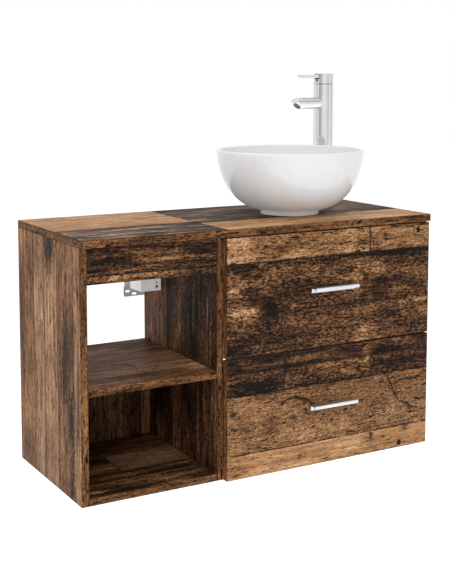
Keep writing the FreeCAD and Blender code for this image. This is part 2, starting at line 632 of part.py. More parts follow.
# ---- tap; made with its spout along +X at the origin, then turned and moved into place
def build_tap():
    body = rod(tap_diameter, (0, 0, 0), (0, 0, tap_body_height))
    slant = spout_diameter / 2
    spout = rod(spout_diameter, (0, 0, spout_height), (spout_reach + slant, 0, spout_height))
    cutter = Part.makeBox(200, 200, 200, V(-100, -100, 0))
    outward = V(1, 0, -1)
    facing = FreeCAD.Rotation(V(0, 0, 1), outward)
    cutter.Placement = FreeCAD.Placement(V(spout_reach, 0, spout_height), facing)
    spout = spout.cut(cutter)
    # the upper front corner of the spout is rounded over
    low = spout_height - spout_diameter
    high = spout_height + slant
    tip = box((0, spout_tip), (-spout_diameter, spout_diameter), (low, high))
    front = [e for e in tip.Edges if e.BoundBox.XMin > 1 and e.BoundBox.YLength > 1]
    corner = [e for e in front if e.BoundBox.ZMin > high - 1]
    tip = tip.makeFillet(spout_tip_radius, corner)
    spout = spout.common(tip)
    body = body.fuse(spout).removeSplitter()
    cartridge_room = tap_diameter - 9
    body = body.cut(rod(cartridge_room, (0, 0, tap_body_height - 26), (0, 0, tap_body_height + 1)))
    body = body.cut(rod(tap_tail_diameter - 4, (0, 0, -1), (0, 0, spout_height + 6)))
    spout_bore_end = spout_reach - slant
    body = body.cut(rod(spout_diameter - 8, (0, 0, spout_height), (spout_bore_end, 0, spout_height)))
    aerator_radius = aerator_diameter / 2
    axis = outward.normalize()
    face = V(spout_reach - aerator_drop, 0, spout_height - aerator_drop)
    seat = Part.makeCylinder(aerator_radius + fit_gap, 6, face - axis * 6, axis)
    body = body.cut(seat)
    aerator = Part.makeCylinder(aerator_radius, 5.2, face - axis * 5.7, axis)
    aerator = aerator.cut(Part.makeCylinder(aerator_radius - 2.2, 1.5, face - axis * 1.5, axis))
    neck = rod(cartridge_room - 2 * fit_gap, (0, 0, tap_body_height - 25.9), (0, 0, tap_body_height))
    collar = rod(tap_diameter - 3, (0, 0, tap_body_height), (0, 0, tap_body_height + 0.9))
    cartridge = neck.fuse(collar).removeSplitter()
    cap_foot = tap_body_height + 1.1
    cap = rod(tap_diameter, (0, 0, cap_foot), (0, 0, tap_height))
    cap = cap.makeChamfer(0.6, [e for e in cap.Edges if e.BoundBox.ZLength < 0.01])
    pivot = lever_height - 1.0
    eye = 10.5
    room = 0.25
    slot = box((-eye / 2 - 1, tap_diameter), (-lever_width / 2 - room, lever_width / 2 + room),
               (pivot - eye / 2 - room, tap_height + 1))
    trunnion = rod(4.0, (0, -lever_width / 2 - 4, pivot), (0, lever_width / 2 + 4, pivot))
    trunnion_hole = rod(4.0 + 0.1, (0, -lever_width / 2 - 4.2, pivot), (0, lever_width / 2 + 4.2, pivot))
    cap = cap.cut(slot).cut(trunnion_hole)
    lever = rod(eye, (0, -lever_width / 2, pivot), (0, lever_width / 2, pivot)).fuse(trunnion)
    bar_z = (lever_height - lever_thickness / 2, lever_height + lever_thickness / 2)
    bar = box((0, lever_reach), (-lever_width / 2, lever_width / 2), bar_z)
    bar = bar.makeFillet(1.2, [e for e in bar.Edges if e.BoundBox.XMin > 1])
    lever = lever.fuse(bar).removeSplitter()
    # the tail under the worktop, with the two inlets in its foot
    tail = rod(tap_tail_diameter, (0, 0, -tap_tail_length), (0, 0, -0.01))
    for side in (-1, 1):
        y = side * tap_inlet_spacing / 2
        tail = tail.cut(rod(tap_inlet, (0, y, -tap_tail_length - 1), (0, y, -tap_tail_length + 14)))
        tail = tail.cut(rod(tap_inlet - 2, (0, y, -tap_tail_length), (0, y, 1)))
    washer = tube(tap_washer_diameter, tap_tail_diameter + 0.4, (0, 0, -board - 3), (0, 0, -board))
    washer = washer.cut(box((0, 40), (-7, 7), (-board - 4, 1)))
    nut = tube(tap_nut_diameter, tap_tail_diameter + 0.2, (0, 0, -board - 12), (0, 0, -board - 3))
    pieces = {"tap_body": body, "tap_aerator": aerator, "tap_cartridge": cartridge, "tap_cap": cap,
              "tap_lever": lever, "tap_tail": tail, "tap_clamp_washer": washer, "tap_lock_nut": nut}
    for name, piece in pieces.items():
        piece.rotate(V(0, 0, 0), V(0, 0, 1), tap_turn)
        piece.translate(V(tap_x, tap_y, worktop))
        add(name, piece)
    cut_node("top_panel", rod(tap_hole, (tap_x, tap_y, top_under - 1), (tap_x, tap_y, worktop + 1)))


build_carcass()
build_cam_fittings()
build_hangers()
upper_floor = build_drawer("upper_drawer", upper_front_foot, upper_front_head, upper_box_foot)
build_drawer("lower_drawer", 0.0, lower_front_height, lower_box_up)
build_pipe_cutout(upper_box_foot, upper_floor)
build_basin()
build_waste()
build_trap()
build_tap()

for name, solids in nodes.items():
    shape = solids[0] if len(solids) == 1 else Part.makeCompound(solids)
    shape.exportStep("parts/" + name + ".step")
    valid = all(solid.isValid() for solid in shape.Solids)
    print(name, len(shape.Solids), "solids, valid" if valid else "solids, NOT VALID", round(shape.Volume))
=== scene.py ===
import math
import bpy
import bmesh
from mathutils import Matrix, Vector


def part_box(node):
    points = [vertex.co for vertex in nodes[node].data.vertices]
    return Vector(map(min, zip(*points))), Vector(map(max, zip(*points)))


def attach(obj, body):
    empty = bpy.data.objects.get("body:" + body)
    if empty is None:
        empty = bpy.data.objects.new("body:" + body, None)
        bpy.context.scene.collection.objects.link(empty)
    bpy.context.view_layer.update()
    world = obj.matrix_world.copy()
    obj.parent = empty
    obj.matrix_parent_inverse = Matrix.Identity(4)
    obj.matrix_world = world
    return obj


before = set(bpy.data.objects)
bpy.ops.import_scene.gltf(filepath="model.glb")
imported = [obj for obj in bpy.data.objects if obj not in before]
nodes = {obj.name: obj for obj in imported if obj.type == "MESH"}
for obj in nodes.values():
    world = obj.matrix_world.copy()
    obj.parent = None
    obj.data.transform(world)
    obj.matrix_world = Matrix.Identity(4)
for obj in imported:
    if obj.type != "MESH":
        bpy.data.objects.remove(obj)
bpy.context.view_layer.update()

print("frame loaded:", len(nodes), "nodes")


def linkObject(name, mesh):
    piece = bpy.data.objects.new(name, mesh)
    bpy.context.scene.collection.objects.link(piece)
    return piece


# small helpers for node trees
def addNode(tree, kind, label=None, **inputs):
    node = tree.nodes.new(kind)
    if label:
        node.label = label
    for key, value in inputs.items():
        node.inputs[key.replace("_", " ")].default_value = value
    return node


def wire(tree, source, target):
    tree.links.new(source, target)


def mathNode(tree, operation, first, second=None, third=None, clamp=False):
    node = tree.nodes.new("ShaderNodeMath")
    node.operation = operation
    node.use_clamp = clamp
    for slot, value in enumerate((first, second, third)):
        if value is None:
            continue
        if isinstance(value, (int, float)):
            node.inputs[slot].default_value = value
        else:
            wire(tree, value, node.inputs[slot])
    return node.outputs[0]


def mixColor(tree, factor, first, second, blend="MIX"):
    node = tree.nodes.new("ShaderNodeMix")
    node.data_type = "RGBA"
    node.blend_type = blend
    for socket, value in ((node.inputs["Factor"], factor), (node.inputs[6], first), (node.inputs[7], second)):
        if isinstance(value, (int, float)):
            socket.default_value = value
        elif isinstance(value, (tuple, list)):
            socket.default_value = (*value, 1.0)[:4]
        else:
            wire(tree, value, socket)
    return node.outputs[2]


def smoothStep(tree, value, low, high):
    node = tree.nodes.new("ShaderNodeMapRange")
    node.interpolation_type = "SMOOTHSTEP"
    wire(tree, value, node.inputs["Value"])
    for name, limit in (("From Min", low), ("From Max", high)):
        if isinstance(limit, (int, float)):
            node.inputs[name].default_value = limit
        else:
            wire(tree, limit, node.inputs[name])
    return node.outputs["Result"]


def stretched(tree, vector, scale, offset=(0, 0, 0)):
    node = tree.nodes.new("ShaderNodeVectorMath")
    node.operation = "MULTIPLY_ADD"
    wire(tree, vector, node.inputs[0])
    node.inputs[1].default_value = scale
    node.inputs[2].default_value = offset
    return node.outputs[0]


def noise(tree, vector, detail=2.0, roughness=0.5, distortion=0.0, scale=1.0):
    node = tree.nodes.new("ShaderNodeTexNoise")
    node.inputs["Scale"].default_value = scale
    node.inputs["Detail"].default_value = detail
    node.inputs["Roughness"].default_value = roughness
    node.inputs["Distortion"].default_value = distortion
    wire(tree, vector, node.inputs["Vector"])
    return node.outputs["Fac"]


def newGroup(name, inputs, outputs):
    tree = bpy.data.node_groups.new(name, "ShaderNodeTree")
    for label, kind, value in inputs:
        socket = tree.interface.new_socket(label, in_out="INPUT", socket_type=kind)
        if value is not None:
            socket.default_value = value
    for label, kind in outputs:
        tree.interface.new_socket(label, in_out="OUTPUT", socket_type=kind)
    return tree, tree.nodes.new("NodeGroupInput").outputs, tree.nodes.new("NodeGroupOutput").inputs


def useGroup(tree, group, **values):
    node = tree.nodes.new("ShaderNodeGroup")
    node.node_tree = group
    for key, value in values.items():
        socket = node.inputs[key]
        if isinstance(value, (int, float, tuple, list)):
            socket.default_value = value
        else:
            wire(tree, value, socket)
    return node


# old plank wood: grain runs along the first coordinate, in metres
plankRamp = [
    (0.00, (0.0060, 0.0045, 0.0035)),
    (0.22, (0.0270, 0.0132, 0.0072)),
    (0.42, (0.0950, 0.0415, 0.0185)),
    (0.62, (0.2200, 0.1020, 0.0420)),
    (0.80, (0.4050, 0.2130, 0.0930)),
    (1.00, (0.6500, 0.4200, 0.2350)),
]


def buildOldPlank():
    tree, given, result = newGroup("oldPlank", [
        ("Vector", "NodeSocketVector", None),
        ("Level", "NodeSocketFloat", 0.5),
        ("Weather", "NodeSocketFloat", 0.5),
        ("Grit", "NodeSocketFloat", 0.5),
        ("Grain", "NodeSocketFloat", 0.5),
        ("Burr", "NodeSocketFloat", 0.0),
        ("Grey", "NodeSocketFloat", 0.0),
        ("Flecks", "NodeSocketFloat", 0.0),
    ], [("Color", "NodeSocketColor"), ("Roughness", "NodeSocketFloat"), ("Height", "NodeSocketFloat")])
    place = given["Vector"]
    # slow waves bend the grain
    wave = noise(tree, stretched(tree, place, (3.0, 11.0, 11.0)), 3.0, 0.55)
    bend = tree.nodes.new("ShaderNodeCombineXYZ")
    wire(tree, mathNode(tree, "MULTIPLY_ADD", wave, 0.020, -0.010), bend.inputs["Y"])
    bent = tree.nodes.new("ShaderNodeVectorMath")
    wire(tree, place, bent.inputs[0])
    wire(tree, bend.outputs[0], bent.inputs[1])
    along = bent.outputs[0]
    fine = noise(tree, stretched(tree, along, (22.0, 780.0, 780.0)), 3.0, 0.6)
    streaks = noise(tree, stretched(tree, along, (5.5, 105.0, 105.0), (0.7, 5.1, 0.0)), 5.0, 0.68)
    weather = noise(tree, stretched(tree, along, (6.5, 16.0, 16.0), (4.4, 2.3, 0.0)), 9.0, 0.70, 0.35)
    grit = noise(tree, stretched(tree, place, (135.0, 260.0, 260.0), (1.3, 8.7, 0.0)), 4.0, 0.75)
    curls = noise(tree, stretched(tree, place, (150.0, 200.0, 200.0), (6.1, 0.9, 0.0)), 2.0, 0.6, 1.8)
    value = mathNode(tree, "MULTIPLY_ADD", mathNode(tree, "SUBTRACT", weather, 0.5), given["Weather"], given["Level"])
    value = mathNode(tree, "MULTIPLY_ADD", mathNode(tree, "SUBTRACT", streaks, 0.5), given["Grain"], value)
    capped = mathNode(tree, "MINIMUM", grit, 0.55)
    value = mathNode(tree, "MULTIPLY_ADD", mathNode(tree, "SUBTRACT", capped, 0.5), given["Grit"], value)
    value = mathNode(tree, "MULTIPLY_ADD", mathNode(tree, "SUBTRACT", fine, 0.5), 0.45, value)
    # curled burr figure, dark and thin, crowded in some places
    crowd = noise(tree, stretched(tree, place, (13.0, 17.0, 17.0), (9.0, 4.0, 2.0)), 3.0, 0.6)
    crowd = smoothStep(tree, crowd, 0.36, 0.62)
    ridge = mathNode(tree, "ABSOLUTE", mathNode(tree, "SUBTRACT", curls, 0.47))
    worms = smoothStep(tree, ridge, 0.060, 0.015)
    broken = smoothStep(tree, grit, 0.42, 0.52)
    worms = mathNode(tree, "MULTIPLY", worms, mathNode(tree, "MULTIPLY_ADD", crowd, 0.65, 0.35))
    worms = mathNode(tree, "MULTIPLY", worms, broken)
    value = mathNode(tree, "SUBTRACT", value, mathNode(tree, "MULTIPLY", worms, given["Burr"]))
    # open pores and splits, short and dark
    pores = noise(tree, stretched(tree, along, (42.0, 300.0, 300.0), (3.1, 1.7, 0.4)), 3.0, 0.62)
    pores = smoothStep(tree, pores, 0.585, 0.66)
    pores = mathNode(tree, "MULTIPLY", pores, mathNode(tree, "MULTIPLY_ADD", crowd, 0.7, 0.3))
    value = mathNode(tree, "SUBTRACT", value, mathNode(tree, "MULTIPLY", pores, given["Grit"]))
    flecks = noise(tree, stretched(tree, along, (30.0, 165.0, 165.0), (7.7, 3.9, 0.4)), 4.0, 0.66, 0.4)
    flecks = mathNode(tree, "MULTIPLY", smoothStep(tree, flecks, 0.60, 0.64), given["Flecks"])
    value = mathNode(tree, "SUBTRACT", value, flecks, clamp=True)
    ramp = tree.nodes.new("ShaderNodeValToRGB")
    for step, (stop, color) in enumerate(plankRamp):
        element = ramp.color_ramp.elements[step] if step < 2 else ramp.color_ramp.elements.new(stop)
        element.position = stop
        element.color = (*color, 1)
    wire(tree, value, ramp.inputs[0])
    plain = tree.nodes.new("ShaderNodeHueSaturation")
    wire(tree, ramp.outputs["Color"], plain.inputs["Color"])
    wire(tree, mathNode(tree, "SUBTRACT", 1.0, given["Grey"]), plain.inputs["Saturation"])
    wire(tree, plain.outputs[0], result["Color"])
    wire(tree, mathNode(tree, "MULTIPLY_ADD", value, -0.14, 0.62), result["Roughness"])
    height = mathNode(tree, "MULTIPLY_ADD", fine, 0.35, mathNode(tree, "MULTIPLY", value, 0.6))
    wire(tree, mathNode(tree, "MULTIPLY_ADD", pores, -0.6, height), result["Height"])
    return tree


# unevenness shared by the joints, knots and curves of one board
def buildUneven():
    tree, given, result = newGroup("uneven", [("Vector", "NodeSocketVector", None)],
                                   [("Wobble", "NodeSocketFloat"), ("Rag", "NodeSocketFloat")])
    wobble = noise(tree, stretched(tree, given["Vector"], (32.0, 32.0, 32.0)), 6.0, 0.68)
    rag = noise(tree, stretched(tree, given["Vector"], (90.0, 170.0, 170.0)), 5.0, 0.7)
    wire(tree, mathNode(tree, "SUBTRACT", wobble, 0.5), result["Wobble"])
    wire(tree, mathNode(tree, "SUBTRACT", rag, 0.5), result["Rag"])
    return tree


# where one plank lies on a board face: a mask, and the dark line of its joints
def buildPlankArea():
    tree, given, result = newGroup("plankArea", [
        ("Vector", "NodeSocketVector", None),
        ("Wobble", "NodeSocketFloat", 0.0),
        ("Middle", "NodeSocketVector", (0, 0, 0)),
        ("Half", "NodeSocketVector", (1, 1, 1)),
        ("Ragged", "NodeSocketFloat", 0.002),
    ], [("Mask", "NodeSocketFloat"), ("Joint", "NodeSocketFloat")])
    away = tree.nodes.new("ShaderNodeVectorMath")
    away.operation = "SUBTRACT"
    wire(tree, given["Vector"], away.inputs[0])
    wire(tree, given["Middle"], away.inputs[1])
    beside = tree.nodes.new("ShaderNodeVectorMath")
    beside.operation = "ABSOLUTE"
    wire(tree, away.outputs[0], beside.inputs[0])
    inside = tree.nodes.new("ShaderNodeVectorMath")
    inside.operation = "SUBTRACT"
    wire(tree, given["Half"], inside.inputs[0])
    wire(tree, beside.outputs[0], inside.inputs[1])
    parts = tree.nodes.new("ShaderNodeSeparateXYZ")
    wire(tree, inside.outputs[0], parts.inputs[0])
    nearest = mathNode(tree, "MINIMUM", parts.outputs[0], parts.outputs[1])
    nearest = mathNode(tree, "MULTIPLY_ADD", given["Wobble"], given["Ragged"], nearest)
    wire(tree, mathNode(tree, "GREATER_THAN", nearest, 0.0), result["Mask"])
    line = smoothStep(tree, mathNode(tree, "ABSOLUTE", nearest), 0.0020, 0.0004)
    wire(tree, mathNode(tree, "MULTIPLY", line, smoothStep(tree, given["Wobble"], -0.16, 0.0)), result["Joint"])
    return tree


# how far a point is from an oval spot, 1 at its ragged rim
def buildSpot():
    tree, given, result = newGroup("spot", [
        ("Vector", "NodeSocketVector", None),
        ("Rag", "NodeSocketFloat", 0.0),
        ("Centre", "NodeSocketVector", (0, 0, 0)),
        ("Scale", "NodeSocketVector", (100, 100, 0)),
        ("Ragged", "NodeSocketFloat", 1.5),
    ], [("Distance", "NodeSocketFloat")])
    away = tree.nodes.new("ShaderNodeVectorMath")
    away.operation = "SUBTRACT"
    wire(tree, given["Vector"], away.inputs[0])
    wire(tree, given["Centre"], away.inputs[1])
    scaled = tree.nodes.new("ShaderNodeVectorMath")
    scaled.operation = "MULTIPLY"
    wire(tree, away.outputs[0], scaled.inputs[0])
    wire(tree, given["Scale"], scaled.inputs[1])
    reach = tree.nodes.new("ShaderNodeVectorMath")
    reach.operation = "LENGTH"
    wire(tree, scaled.outputs[0], reach.inputs[0])
    distance = mathNode(tree, "MULTIPLY_ADD", given["Rag"], given["Ragged"], reach.outputs["Value"])
    wire(tree, distance, result["Distance"])
    return tree


# a thin dark curve, part of a circle: the rim of a large knot, or a saw mark
def buildCurve():
    tree, given, result = newGroup("curve", [
        ("Vector", "NodeSocketVector", None),
        ("Wobble", "NodeSocketFloat", 0.0),
        ("Centre", "NodeSocketVector", (0, 0, 0)),
        ("Radius", "NodeSocketFloat", 0.1),
        ("Middle", "NodeSocketVector", (0, 1, 0)),
        ("Spread", "NodeSocketFloat", 0.7),
        ("Width", "NodeSocketFloat", 0.002),
    ], [("Mask", "NodeSocketFloat")])
    away = tree.nodes.new("ShaderNodeVectorMath")
    away.operation = "SUBTRACT"
    wire(tree, given["Vector"], away.inputs[0])
    wire(tree, given["Centre"], away.inputs[1])
    flat = tree.nodes.new("ShaderNodeVectorMath")
    flat.operation = "MULTIPLY"
    wire(tree, away.outputs[0], flat.inputs[0])
    flat.inputs[1].default_value = (1, 1, 0)
    reach = tree.nodes.new("ShaderNodeVectorMath")
    reach.operation = "LENGTH"
    wire(tree, flat.outputs[0], reach.inputs[0])
    heading = tree.nodes.new("ShaderNodeVectorMath")
    heading.operation = "NORMALIZE"
    wire(tree, flat.outputs[0], heading.inputs[0])
    toward = tree.nodes.new("ShaderNodeVectorMath")
    toward.operation = "DOT_PRODUCT"
    wire(tree, heading.outputs[0], toward.inputs[0])
    wire(tree, given["Middle"], toward.inputs[1])
    off = mathNode(tree, "SUBTRACT", reach.outputs["Value"], given["Radius"])
    off = mathNode(tree, "ABSOLUTE", mathNode(tree, "MULTIPLY_ADD", given["Wobble"], 0.024, off))
    line = smoothStep(tree, mathNode(tree, "DIVIDE", off, given["Width"]), 1.0, 0.35)
    held = smoothStep(tree, toward.outputs["Value"], given["Spread"], mathNode(tree, "ADD", given["Spread"], 0.05))
    broken = smoothStep(tree, given["Wobble"], -0.20, -0.04)
    wire(tree, mathNode(tree, "MULTIPLY", line, mathNode(tree, "MULTIPLY", held, broken)), result["Mask"])
    return tree


# dirt and wear that follow the edges of a box-shaped board
def buildEdgeWear():
    tree, given, result = newGroup("edgeWear", [
        ("Vector", "NodeSocketVector", None),
        ("Low", "NodeSocketVector", (0, 0, 0)),
        ("High", "NodeSocketVector", (1, 1, 1)),
        ("Width", "NodeSocketFloat", 0.0016),
    ], [("Mask", "NodeSocketFloat")])
    gaps = []
    for name, sign in (("Low", 1), ("High", -1)):
        gap = tree.nodes.new("ShaderNodeVectorMath")
        gap.operation = "SUBTRACT"
        wire(tree, given["Vector"] if sign > 0 else given[name], gap.inputs[0])
        wire(tree, given[name] if sign > 0 else given["Vector"], gap.inputs[1])
        parts = tree.nodes.new("ShaderNodeSeparateXYZ")
        wire(tree, gap.outputs[0], parts.inputs[0])
        gaps.append(parts.outputs)
    near = [mathNode(tree, "MINIMUM", gaps[0][axis], gaps[1][axis]) for axis in range(3)]
    # the surface lies on one side of the box, so the middle of the three gaps is the way to the edge
    lowest = mathNode(tree, "MINIMUM", mathNode(tree, "MINIMUM", near[0], near[1]), near[2])
    highest = mathNode(tree, "MAXIMUM", mathNode(tree, "MAXIMUM", near[0], near[1]), near[2])
    total = mathNode(tree, "ADD", mathNode(tree, "ADD", near[0], near[1]), near[2])
    middle = mathNode(tree, "SUBTRACT", mathNode(tree, "SUBTRACT", total, lowest), highest)
    rub = noise(tree, stretched(tree, given["Vector"], (60.0, 60.0, 60.0)), 5.0, 0.7)
    reach = mathNode(tree, "MULTIPLY", mathNode(tree, "MULTIPLY_ADD", rub, 2.4, -0.4), given["Width"])
    wire(tree, smoothStep(tree, mathNode(tree, "DIVIDE", middle, reach), 1.0, 0.4), result["Mask"])
    return tree


oldPlank = buildOldPlank()
uneven = buildUneven()
plankArea = buildPlankArea()
spotGroup = buildSpot()
curveGroup = buildCurve()
edgeWear = buildEdgeWear()

# finishes of single planks: level from black to pale, then how patchy, gritty, streaky, burred and grey
plankTones = {
    "paleTan": (0.765, 0.45, 0.75, 0.80, 0.00, 0.00, 0.15),
    "bandTan": (0.725, 0.90, 2.10, 0.70, 0.30, 0.00, 0.50),
    "burrTan": (0.722, 0.60, 1.80, 0.10, 1.20, 0.00, 0.35),
    "sideTan": (0.640, 0.55, 0.80, 0.85, 0.05, 0.08, 0.35),
    "brown": (0.555, 1.00, 1.10, 0.90, 0.15, 0.00, 0.45),
    "darkBrown": (0.425, 1.45, 1.35, 1.20, 0.10, 0.00, 0.45),
    "charred": (0.405, 1.75, 3.30, 0.60, 0.20, 0.00, 0.40),
    "blackened": (0.325, 1.70, 2.10, 1.50, 0.10, 0.00, 0.30),
    "smoky": (0.350, 2.20, 1.00, 3.00, 0.00, 0.15, 0.00),
}
edgeTone = (0.515, 0.62, 1.90, 1.00, 0.20, -0.04, 1.0)
soot = (0.0085, 0.0065, 0.0055)

# which coordinate the grain follows, which runs across, and which way the board faces
faceAxes = {"top": (0, 1, 2), "front": (0, 2, 1), "sideTall": (2, 1, 0), "backTall": (2, 0, 1)}


def pickAxes(tree, vector, axes):
    parts = tree.nodes.new("ShaderNodeSeparateXYZ")
    wire(tree, vector, parts.inputs[0])
    joined = tree.nodes.new("ShaderNodeCombineXYZ")
    for slot, axis in enumerate(axes):
        wire(tree, parts.outputs[axis], joined.inputs[slot])
    return joined.outputs[0]


def mixVector(tree, factor, first, second):
    node = tree.nodes.new("ShaderNodeMix")
    node.data_type = "VECTOR"
    wire(tree, factor, node.inputs["Factor"])
    for socket, value in ((node.inputs[4], first), (node.inputs[5], second)):
        if isinstance(value, tuple):
            socket.default_value = value
        else:
            wire(tree, value, socket)
    return node.outputs[1]


def boardMaterial(nodeName, facing, planks, patches=(), knots=(), holes=(), curves=(), seed=0.0, ragged=0.003):
    material = bpy.data.materials.new(nodeName + "_planks")
    material.use_nodes = True
    tree = material.node_tree
    shader = tree.nodes["Principled BSDF"]
    coordinates = tree.nodes.new("ShaderNodeTexCoord")
    axes = faceAxes[facing]
    place = pickAxes(tree, coordinates.outputs["Object"], axes)
    rough = useGroup(tree, uneven, Vector=place)
    wobble, rag = rough.outputs["Wobble"], rough.outputs["Rag"]

    def spotAt(along, across, halfLength, halfWidth, raggedRim):
        spot = useGroup(tree, spotGroup, Vector=place, Rag=rag, Centre=(along / 1000, across / 1000, 0),
                        Scale=(1000 / halfLength, 1000 / halfWidth, 0), Ragged=raggedRim)
        return spot.outputs["Distance"]

    # each plank brings its own levels and its own stretch of wood
    start = plankTones[planks[0][4]]
    first, second, drift = start[:3], start[3:6], (seed, seed * 0.37, start[6])
    marks = 0.0
    for index, (alongLow, alongHigh, acrossLow, acrossHigh, toneName) in enumerate(planks):
        middle = ((alongLow + alongHigh) / 2000, (acrossLow + acrossHigh) / 2000, 0)
        half = ((alongHigh - alongLow) / 2000, (acrossHigh - acrossLow) / 2000, 0)
        area = useGroup(tree, plankArea, Vector=place, Wobble=wobble, Middle=middle, Half=half, Ragged=ragged)
        mask = area.outputs["Mask"]
        tone = plankTones[toneName]
        own = ((seed + index * 1.37) % 7.0, (seed * 0.7 + index * 0.53) % 5.0, tone[6])
        first = mixVector(tree, mask, first, tone[:3])
        second = mixVector(tree, mask, second, tone[3:6])
        drift = mixVector(tree, mask, drift, own)
        marks = mathNode(tree, "MAXIMUM", marks, area.outputs["Joint"])
    # lighter and darker areas
    change = 0.0
    for along, across, halfLength, halfWidth, amount in patches:
        soft = smoothStep(tree, spotAt(along, across, halfLength, halfWidth, 5.0), 1.6, 0.3)
        soft.node.inputs["To Max"].default_value = amount
        change = mathNode(tree, "ADD", change, soft)
    # knots with their rings, nail holes, and curved lines
    nearest = 9.0
    for along, across, halfLength, halfWidth in knots:
        nearest = mathNode(tree, "MINIMUM", nearest, spotAt(along, across, halfLength, halfWidth, 3.8))
    if knots:
        rings = mathNode(tree, "SINE", mathNode(tree, "MULTIPLY", nearest, 10.0))
        rings = mathNode(tree, "MULTIPLY_ADD", rings, 0.26, 0.24)
        rings = mathNode(tree, "MULTIPLY", rings, smoothStep(tree, nearest, 2.4, 0.9))
        marks = mathNode(tree, "MAXIMUM", marks, rings)
        core = mathNode(tree, "MULTIPLY", smoothStep(tree, nearest, 0.95, 0.35), 0.84)
        marks = mathNode(tree, "MAXIMUM", marks, core)
    for along, across, halfLength, halfWidth in holes:
        hole = smoothStep(tree, spotAt(along, across, halfLength, halfWidth, 0.5), 1.05, 0.75)
        marks = mathNode(tree, "MAXIMUM", marks, hole)
    for along, across, radius, heading, spread, width in curves:
        middle = (math.cos(math.radians(heading)), math.sin(math.radians(heading)), 0)
        curve = useGroup(tree, curveGroup, Vector=place, Wobble=wobble, Centre=(along / 1000, across / 1000, 0),
                         Radius=radius / 1000, Middle=middle, Width=width / 1000,
                         Spread=math.cos(math.radians(spread)))
        marks = mathNode(tree, "MAXIMUM", marks, mathNode(tree, "MULTIPLY", curve.outputs["Mask"], 0.85))
    # the banded edges, by which way the face looks; their pattern runs along the edge
    looks = tree.nodes.new("ShaderNodeSeparateXYZ")
    wire(tree, pickAxes(tree, coordinates.outputs["Normal"], axes), looks.inputs[0])
    endFace = mathNode(tree, "GREATER_THAN", mathNode(tree, "ABSOLUTE", looks.outputs[0]), 0.7)
    flat = mathNode(tree, "GREATER_THAN", mathNode(tree, "ABSOLUTE", looks.outputs[2]), 0.7)
    banding = mixVector(tree, endFace, pickAxes(tree, place, (0, 2, 1)), pickAxes(tree, place, (1, 2, 0)))
    first = mixVector(tree, flat, edgeTone[:3], first)
    second = mixVector(tree, flat, edgeTone[3:6], second)
    firstParts = tree.nodes.new("ShaderNodeSeparateXYZ")
    wire(tree, first, firstParts.inputs[0])
    secondParts = tree.nodes.new("ShaderNodeSeparateXYZ")
    wire(tree, second, secondParts.inputs[0])
    driftParts = tree.nodes.new("ShaderNodeSeparateXYZ")
    wire(tree, drift, driftParts.inputs[0])
    flecks = mathNode(tree, "MAXIMUM", driftParts.outputs[2], mathNode(tree, "SUBTRACT", edgeTone[6], flat))
    offset = tree.nodes.new("ShaderNodeCombineXYZ")
    wire(tree, driftParts.outputs[0], offset.inputs[0])
    wire(tree, driftParts.outputs[1], offset.inputs[1])
    moved = tree.nodes.new("ShaderNodeVectorMath")
    wire(tree, mixVector(tree, flat, banding, place), moved.inputs[0])
    wire(tree, offset.outputs[0], moved.inputs[1])
    level = mathNode(tree, "MULTIPLY_ADD", change, flat, firstParts.outputs[0])
    wood = useGroup(tree, oldPlank, Vector=moved.outputs[0], Flecks=flecks,
                    Level=level, Weather=firstParts.outputs[1], Grit=firstParts.outputs[2],
                    Grain=secondParts.outputs[0], Burr=secondParts.outputs[1], Grey=secondParts.outputs[2])
    marks = mathNode(tree, "MULTIPLY", marks, flat)
    low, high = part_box(nodeName)
    wear = useGroup(tree, edgeWear, Vector=coordinates.outputs["Object"], Low=tuple(low), High=tuple(high))
    color = mixColor(tree, marks, wood.outputs["Color"], soot)
    color = mixColor(tree, mathNode(tree, "MULTIPLY", wear.outputs["Mask"], 0.55), color, (0.030, 0.017, 0.010))
    wire(tree, color, shader.inputs["Base Color"])
    wire(tree, wood.outputs["Roughness"], shader.inputs["Roughness"])
    shader.inputs["Specular IOR Level"].default_value = 0.07
    height = mathNode(tree, "MULTIPLY_ADD", marks, -0.7, wood.outputs["Height"])
    height = mathNode(tree, "MULTIPLY_ADD", wear.outputs["Mask"], -0.4, height)
    bump = addNode(tree, "ShaderNodeBump", Strength=0.25, Distance=0.0005)
    wire(tree, height, bump.inputs["Height"])
    wire(tree, bump.outputs["Normal"], shader.inputs["Normal"])
    return material


def setMaterial(piece, material):
    piece.data.materials.clear()
    piece.data.materials.append(material)


def dress(nodeName, material):
    slots = nodes[nodeName].data.materials
    for index in range(len(slots)):
        slots[index] = material


